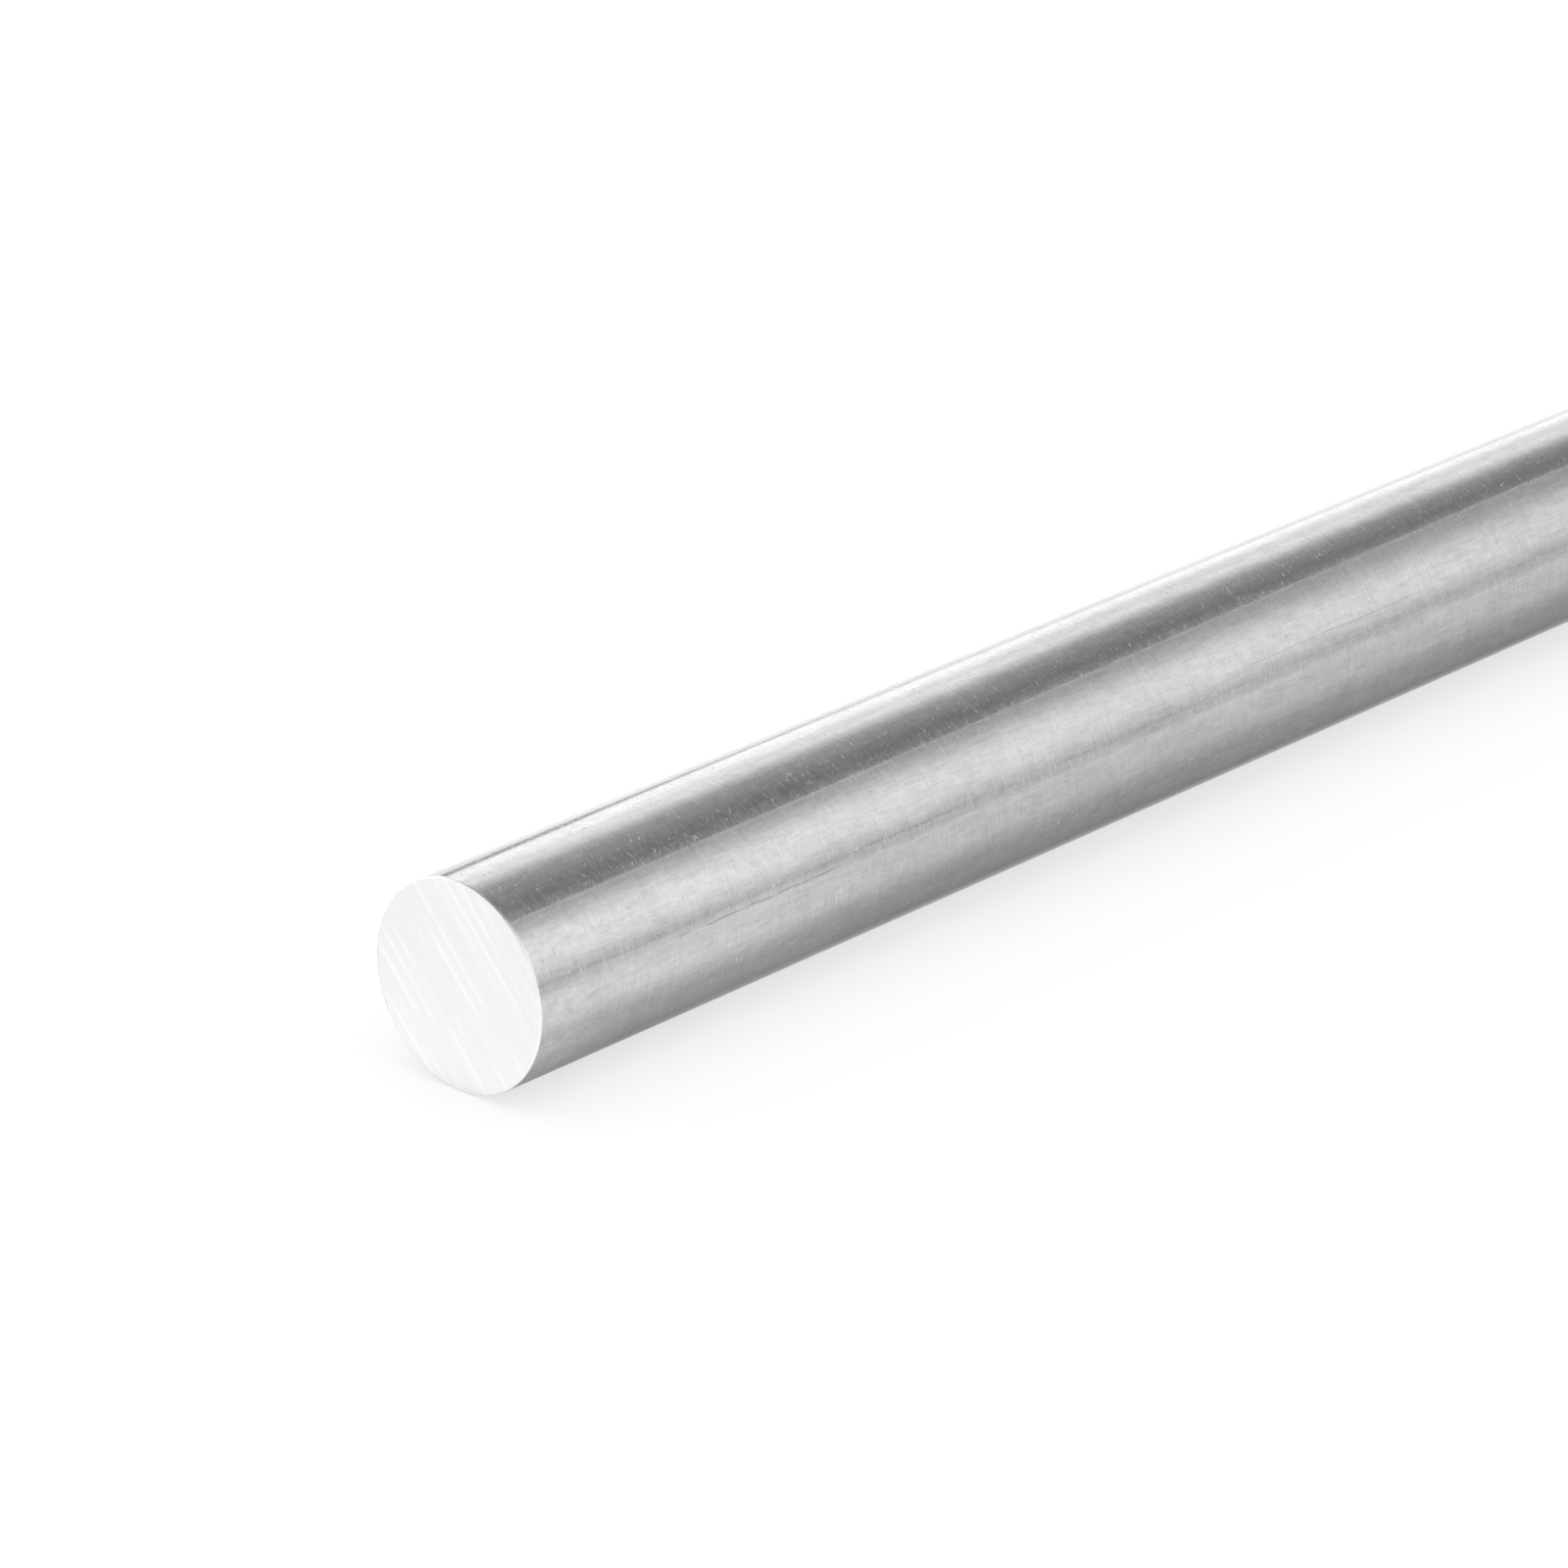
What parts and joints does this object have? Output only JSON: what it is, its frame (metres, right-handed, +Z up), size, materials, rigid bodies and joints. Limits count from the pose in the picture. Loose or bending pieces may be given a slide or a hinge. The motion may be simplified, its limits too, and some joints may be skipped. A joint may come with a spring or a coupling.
{
  "type": "round metal bar",
  "caption": "Straight solid round bar of bright ground steel with square sawn ends and lightly broken edges, lying on its side.",
  "frame": {"origin": "on the floor line midway along the bar, straight below its axis", "axes": "+X along the bar's axis, away from the end that the picture shows; +Z up; +Y across the bar, away from the picture's camera"},
  "size_m": [0.3, 0.02, 0.02],
  "materials": {
    "ground_steel": "ground bright round the side, sawn across the ends"
  },
  "bodies": {
    "root": {"round_bar": "ground_steel"}
  },
  "joints": []
}
